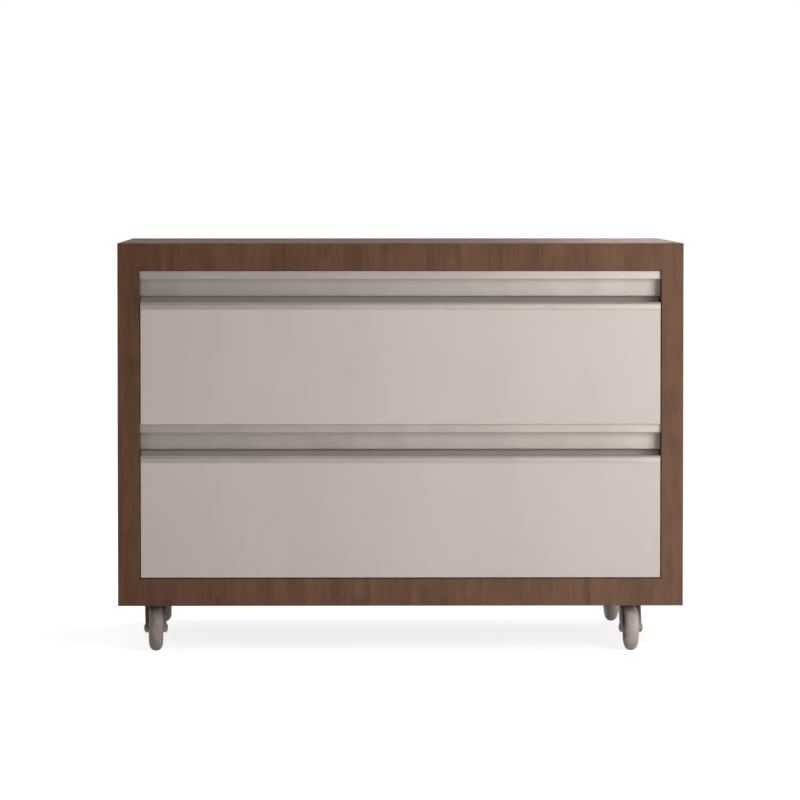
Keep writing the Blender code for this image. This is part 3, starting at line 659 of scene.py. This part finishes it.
def make_pull(level, rail_metal, grip_metal):
    """A pull rail with a crisp fold under its web, and a grip edge with a hollow top and a full nose."""
    low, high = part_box(f"{level}_pull_rail")
    web, apron, lip_back = low.y + RAIL_DEPTH, high.y - RAIL_WALL, low.y + RAIL_WALL
    lip_foot, foot, under = low.z + RAIL_LIP_FOOT, low.z + RAIL_FOOT, high.z - RAIL_WALL
    outline = squared([
        (low.y, lip_foot, RAIL_EASE),
        (low.y, high.z, RAIL_EASE),
        (web + RAIL_WALL, high.z, RAIL_BEND),
        (web + RAIL_WALL, foot + RAIL_WALL, RAIL_EASE),
        (high.y, foot + RAIL_WALL, RAIL_BEND),
        (high.y, low.z, RAIL_EASE),
        (apron, low.z, RAIL_EASE),
        (apron, foot, RAIL_EASE),
        (web, foot, RAIL_FOLD),
        (web, under, RAIL_EASE),
        (lip_back, under, RAIL_EASE),
        (lip_back, lip_foot, RAIL_EASE),
    ])
    bm = drawn(outline, low.x, high.x)
    piece(f"{level}_rail_moulding", bm, rail_metal, "case", f"{level}_pull_rail")

    low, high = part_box(f"{level}_grip_edge")
    crest, foot, leg = high.z + GRIP_RISE, low.z + GRIP_FOOT, high.y - GRIP_LEG
    back, front = high.y - GRIP_BACK_NOSE, low.y + GRIP_NOSE
    outline = [(low.y, foot), (leg, foot), (leg, low.z), (high.y, low.z)]
    back_nose = (back, crest - GRIP_BACK_NOSE)
    outline += rounded(back_nose, GRIP_BACK_NOSE, 0, QUARTER_TURN, GRIP_BACK_NOSE_STEPS)
    for step in range(1, GRIP_HOLLOW_STEPS):
        share = step / GRIP_HOLLOW_STEPS
        outline.append((back + (front - back) * share, crest - GRIP_HOLLOW * (1 - (2 * share - 1) ** 2)))
    outline += rounded((front, crest - GRIP_NOSE), GRIP_NOSE, QUARTER_TURN, math.pi, GRIP_NOSE_STEPS)
    outline.append((low.y, crest - GRIP_NOSE - FLAT_EDGE))
    bm = drawn(outline, low.x, high.x)
    body = f"{level}_drawer"
    piece(f"{level}_grip_moulding", bm, grip_metal, body, f"{level}_grip_edge")


def make_wheel(corner, rubber, plastic, dark_steel):
    """A smooth tyre, a hub with moulded edges and a domed axle rivet in place of the faceted solids."""
    joint = JOINTS[f"{corner}_roll"]
    centre = Vector(joint["pos_m"])
    turn = Vector(joint["axis"]).to_track_quat("Z", "Y").to_matrix().to_4x4()
    matrix = Matrix.Translation(centre) @ turn

    tread = centre.z
    wall, shoulder = tread - TREAD_DROP, TYRE_HALF - TREAD_HALF
    tyre = [(TYRE_BORE, HUB_HALF), (wall - TYRE_LIP, HUB_HALF), (wall, TYRE_HALF)]
    for step in range(1, TREAD_STEPS + 1):
        angle = QUARTER_TURN * (1 - step / TREAD_STEPS)
        tyre.append((tread - TREAD_DROP * (1 - math.cos(angle)), TREAD_HALF + shoulder * math.sin(angle)))
    bm = lathed(both_halves(tyre), TYRE_SIDES, matrix)
    piece(f"{corner}_tyre", bm, rubber, f"{corner}_wheel", f"{corner}_wheel_tyre")

    rim, web = HUB_RADIUS - HUB_RIM, HUB_WEB_HALF + HUB_FILLET
    hub = [(BORE_RADIUS, BOSS_HALF - HUB_CHAMFER), (BORE_RADIUS + HUB_CHAMFER, BOSS_HALF)]
    fillets = (
        (BOSS_RADIUS - HUB_FILLET, BOSS_HALF - HUB_FILLET, HUB_FILLET, QUARTER_TURN, 0),
        (BOSS_RADIUS + HUB_FILLET, web, HUB_FILLET, math.pi, 1.5 * math.pi),
        (rim - HUB_FILLET, web, HUB_FILLET, -QUARTER_TURN, 0),
        (rim + RIM_FILLET, HUB_HALF - RIM_FILLET, RIM_FILLET, math.pi, QUARTER_TURN),
    )
    for radius, height, fillet, start, end in fillets:
        hub += rounded((radius, height), fillet, start, end, FILLET_STEPS)
    hub.append((HUB_RADIUS, HUB_HALF))
    bm = lathed(both_halves(hub), HUB_SIDES, matrix)
    piece(f"{corner}_hub", bm, plastic, f"{corner}_wheel", f"{corner}_wheel_hub")

    crest = PIN_SEAT + PIN_HEAD_HEIGHT
    pin = [(radius, crest - drop) for radius, drop in PIN_DOME]
    pin += [(PIN_HEAD_RADIUS, PIN_SEAT), (PIN_RADIUS, PIN_SEAT)]
    bm = lathed(both_halves(pin), PIN_SIDES, matrix)
    piece(f"{corner}_rivet", bm, dark_steel, f"{corner}_fork", f"{corner}_caster_axle")


def caster_axes(corner):
    """A caster's axle, its swivel's point on the floor, its trail, and the ways back and across."""
    axle = Vector(JOINTS[f"{corner}_roll"]["pos_m"])
    swivel = Vector(JOINTS[f"{corner}_swivel"]["pos_m"])
    swivel.z = 0
    trail = swivel - Vector((axle.x, axle.y, 0))
    back = trail.normalized()
    return axle, swivel, trail.length, back, back.cross(UP)


def fork_outline(trail, axle_z, crown_z):
    """The fork seen along its axle: a crown that tapers to the rounded end of its legs, as (y, z)."""
    crown_half = math.sqrt(FORK_SWING**2 - FORK_HALF**2)
    end = Vector((-trail, axle_z))
    shoulders = [Vector((side * crown_half, crown_z - FORK_SKIRT)) for side in (-1, 1)]
    turns = []
    for side, shoulder in zip((1, -1), shoulders):
        away = shoulder - end
        turns.append(math.atan2(away.y, away.x) + side * math.acos(FORK_END_RADIUS / away.length))
    outline = [(crown_half, crown_z), (-crown_half, crown_z), tuple(shoulders[0])]
    outline += rounded(end, FORK_END_RADIUS, turns[0], turns[1] + math.tau, FORK_END_STEPS)
    return outline + [tuple(shoulders[1])]


def span_at(outline, z):
    """The least and the greatest y of a closed outline at one height."""
    found = []
    for (y0, z0), (y1, z1) in zip(outline, outline[1:] + outline[:1]):
        if z0 != z1 and min(z0, z1) <= z <= max(z0, z1):
            found.append(y0 + (y1 - y0) * (z - z0) / (z1 - z0))
    return min(found), max(found)


def fork_rows(axle_z, crown_z):
    """The pressed strip from one leg's end over the crown to the other's, as (x, z, outward x and z)."""
    bend_z = crown_z - FORK_BEND
    turns = [QUARTER_TURN * step / FORK_STEPS for step in range(FORK_STEPS + 1)]
    heights = [axle_z - FORK_END_RADIUS * math.cos(turn) for turn in turns]
    heights[0] += TINY
    heights += [axle_z + (bend_z - axle_z) * step / FORK_STEPS for step in range(1, FORK_STEPS + 1)]
    rows = [(FORK_HALF, z, 1.0, 0.0) for z in heights]
    for turn in turns[1:]:
        x = FORK_HALF - FORK_BEND * (1 - math.cos(turn))
        rows.append((x, bend_z + FORK_BEND * math.sin(turn), math.cos(turn), math.sin(turn)))
    return rows + [(-x, z, -out_x, out_z) for x, z, out_x, out_z in reversed(rows)]


def make_fork(corner, dark_steel):
    """A pressed fork with smooth bends and rounded edges in place of the faceted solid."""
    axle, swivel, trail, back, across = caster_axes(corner)
    crown_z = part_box(f"{corner}_caster_fork")[1].z - RACE_HEIGHT
    outline = fork_outline(trail, axle.z, crown_z)
    rows = fork_rows(axle.z, crown_z)
    half = len(rows) // 2

    bm = bmesh.new()
    sheets, bores = [], []
    for leg, crown in ((0, 0), (FORK_LEG, FORK_CROWN)):
        sheet = []
        for x, z, out_x, out_z in rows:
            front, rear = span_at(outline, min(z, crown_z - TINY))
            depth = crown + (leg - crown) * abs(out_x)
            place = across * (x - out_x * depth) + UP * (z - out_z * depth)
            reaches = (front + (rear - front) * step / FORK_STEPS for step in range(FORK_STEPS + 1))
            sheet.append([bm.verts.new(swivel + (place + back * reach)) for reach in reaches])
        for lines in (sheet[:half], sheet[half:]):
            for line, following in zip(lines, lines[1:]):
                joined(bm, line, following)
        around = sheet[half - 1] + sheet[half][::-1]
        bore = []
        for point in around:
            away = point.co - swivel
            height, away.z = away.z, 0
            bore.append(bm.verts.new(swivel + away.normalized() * CROWN_BORE + UP * height))
        joined(bm, around, bore, closed=True)
        sheets.append(sheet)
        bores.append(bore)
    joined(bm, *bores, closed=True)
    for side in (0, -1):
        joined(bm, *([line[side] for line in sheet] for sheet in sheets))
        joined(bm, *(sheet[side] for sheet in sheets))
    name, body = f"{corner}_fork_pressing", f"{corner}_fork"
    fork = piece(name, bm, dark_steel, body, f"{corner}_caster_fork")
    soft = fork.modifiers.new("rounded_edges", "BEVEL")
    soft.width = FORK_EASE
    soft.segments = FORK_EASE_SEGMENTS
    soft.limit_method = "ANGLE"
    soft.angle_limit = FORK_EASE_ANGLE

    top, sunk = crown_z + RACE_HEIGHT, crown_z - RACE_SINK
    race = [(RACE_BORE, sunk), (RACE_BORE, top), (RACE_TOP, top), (RACE_SHOULDER, top - RACE_SHOULDER_DROP)]
    race += [(RACE_RADIUS, crown_z), (RACE_RADIUS, sunk)]
    bm = lathed(race, RACE_SIDES, Matrix.Translation(swivel))
    piece(f"{corner}_fork_race", bm, dark_steel, body)


def make_shade_sheet(corner, dark_steel):
    """A curved sheet between the fork's legs, over the back of the wheel, that tapers at its foot. It is put
    where there is only shade, so that the gaps between the legs and the tyre read dark.
    """
    axle, _, _, back, across = caster_axes(corner)
    half = FORK_HALF - FORK_LEG
    taper_from = SHADE_SHEET_STEPS - SHADE_SHEET_TAPER_STEPS
    bm = bmesh.new()
    lines = []
    for step in range(SHADE_SHEET_STEPS + 1):
        angle = math.radians(SHADE_SHEET_FROM + (SHADE_SHEET_TO - SHADE_SHEET_FROM) * step / SHADE_SHEET_STEPS)
        width = half * (1 - SHADE_SHEET_TAPER * max(0, (step - taper_from) / SHADE_SHEET_TAPER_STEPS) ** 2)
        away = back * math.sin(angle) + UP * math.cos(angle)
        corners = ((-width, SHADE_SHEET_OUTER), (width, SHADE_SHEET_OUTER), (width, SHADE_SHEET_INNER), (-width, SHADE_SHEET_INNER))
        lines.append([bm.verts.new(axle + across * x + away * radius) for x, radius in corners])
    for line, following in zip(lines, lines[1:]):
        joined(bm, line, following, closed=True)
    bm.faces.new(lines[0])
    bm.faces.new(lines[-1])
    piece(f"{corner}_fork_shade_sheet", bm, dark_steel, f"{corner}_fork")


def screw_point(x, y, radius, height):
    """The point over x and y on a domed head with a cross recess."""
    reach = math.hypot(x, y) / radius
    cross = min(abs(x), abs(y)) < CROSS_HALF * radius and reach < CROSS_REACH
    return Vector((x, y, height * (1 - SCREW_FALL * reach**3 - (CROSS_DEPTH if cross else 0))))


def make_screws(name, places, facing, size, material, body):
    """Pan heads with a cross recess, each sitting on a point of a face and facing the same way."""
    radius, height = size
    bm = bmesh.new()
    turn = Vector(facing).to_track_quat("Z", "Y").to_matrix().to_4x4()
    for place in places:
        matrix = Matrix.Translation(place) @ turn
        tip = bm.verts.new(matrix @ screw_point(0, 0, radius, height))
        rings = []
        for step in range(1, SCREW_RINGS + 1):
            points = circle(radius * step / SCREW_RINGS, SCREW_SPOKES)
            rings.append([bm.verts.new(matrix @ screw_point(x, y, radius, height)) for x, y in points])
        rings.append([bm.verts.new(matrix @ Vector((x, y, 0))) for x, y in circle(radius, SCREW_SPOKES)])
        for spoke, point in enumerate(rings[0]):
            bm.faces.new((tip, rings[0][(spoke + 1) % SCREW_SPOKES], point))
        for ring, following in zip(rings, rings[1:]):
            joined(bm, ring, following, closed=True)
        bm.faces.new(rings[-1])
    piece(name, bm, material, body)


def make_fasteners(steel, dark_steel):
    for corner in CORNERS:
        low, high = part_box(f"{corner}_caster_plate")
        x, y, _ = JOINTS[f"{corner}_swivel"]["pos_m"]
        across, along = (half - PLATE_SCREW_INSET for half in ((high - low) / 2).xy)
        z = high.z - PLATE_SHEET
        places = [(x + i * across, y + j * along, z) for i in (-1, 1) for j in (-1, 1)]
        name = f"{corner}_plate_screws"
        make_screws(name, places, (0, 0, -1), PLATE_SCREW, dark_steel, "case")
    for level in LEVELS:
        body = f"{level}_drawer"
        low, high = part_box(f"{level}_box_front")
        heights = [low.z + share * (high.z - low.z) for share in FRONT_SCREW_ROWS]
        places = [(x, high.y, z) for x in FRONT_SCREW_COLUMNS for z in heights]
        name = f"{level}_front_screws"
        make_screws(name, places, (0, 1, 0), FRONT_SCREW, steel, body)
        for side, out in zip(SIDES, (-1, 1)):
            low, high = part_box(f"{level}_{side}_slide_inner")
            web = (low.x if out > 0 else high.x) + out * SLIDE_SHEET
            ends = [low.y + share * (high.y - low.y) for share in SLIDE_SCREW_SHARES]
            places = [(web, y, (low.z + high.z) / 2) for y in ends]
            name = f"{level}_{side}_slide_screws"
            make_screws(name, places, (out, 0, 0), SLIDE_SCREW, steel, body)


def make_seam(name, low, high, inner):
    """A glue line that fills the gap between two boards and their eased outer edges, flush with both."""
    below, above = low.z - SEAM_EASE, high.z + SEAM_EASE
    inside = -inner * (min(abs(low.x), abs(high.x)) + SEAM_EASE)
    bm = bmesh.new()
    loops = []
    for inset, height in ((SEAM_EASE, low.z), (TINY, below), (TINY, above), (SEAM_EASE, high.z)):
        outer = -inner * (max(abs(low.x), abs(high.x)) - inset)
        front, rear = low.y + inset, high.y - inset
        corners = ((outer, front), (inside, front), (inside, rear), (outer, rear))
        loops.append([bm.verts.new((x, y, height)) for x, y in corners])
    for loop, following in zip(loops, loops[1:]):
        joined(bm, loop, following, closed=True)
    bm.faces.new(loops[0])
    bm.faces.new(loops[-1])
    piece(name, bm, walnut(name, low, high, joined_below=True, joined_above=True), "case")


def make_seams():
    play = UP * SEAM_PLAY
    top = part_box("top_panel")[0].z
    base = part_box("base_front_rail")[1].z
    for side, inner in zip(SIDES, (1, -1)):
        low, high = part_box(f"{side}_side_panel")
        above = Vector((low.x, low.y, high.z)) + play, Vector((high.x, high.y, top)) - play
        below = Vector((low.x, low.y, base)) + play, Vector((high.x, high.y, low.z)) - play
        make_seam(f"{side}_top_seam", *above, inner)
        make_seam(f"{side}_base_seam", *below, inner)


bpy.context.scene.view_settings.view_transform = "Standard"
make_camera()
make_world()
make_light("key", place=(0.75, -1.4, 0.48), aim=(0.0, -0.2, 0.3), size=(0.5, 0.7), power=10)
make_light(
    "fill", place=(0.32, -1.5, 0.38), aim=(0.25, -0.2, 0.33), size=(0.35, 0.45), power=3.6, mirrored=False
)
make_light("rim", place=(0.47, 1.5, 0.7), aim=(0.3, 0.0, 0.45), size=(0.4, 0.45), power=5.3, hue=WARM_RIM)
make_light("side", place=(1.25, -0.2, 0.08), aim=(0.28, -0.2, 0.04), size=(0.3, 0.12), power=3.4)
make_light("back", place=(-1.3, 1.8, 0.28), aim=(0.0, 0.1, 0.22), size=(1.2, 0.3), power=10)
make_floor()
STEEL, DARK_STEEL = zinc(), caster_steel()
RAIL_METAL = pale_metal("pull_rail_aluminium", RAIL_GAP_SHADE_FROM, RAIL_GAP_SHADE)
GRIP_METAL = pale_metal("grip_edge_aluminium", GRIP_GAP_SHADE_FROM, GRIP_GAP_SHADE)
paint_nodes(GRIP_METAL, RAIL_METAL, STEEL, DARK_STEEL)
for level in LEVELS:
    make_pull(level, RAIL_METAL, GRIP_METAL)
RUBBER, PLASTIC = tyre_rubber(), hub_plastic()
for corner in CORNERS:
    make_fork(corner, DARK_STEEL)
    make_shade_sheet(corner, DARK_STEEL)
    make_wheel(corner, RUBBER, PLASTIC, DARK_STEEL)
make_seams()
make_fasteners(STEEL, DARK_STEEL)
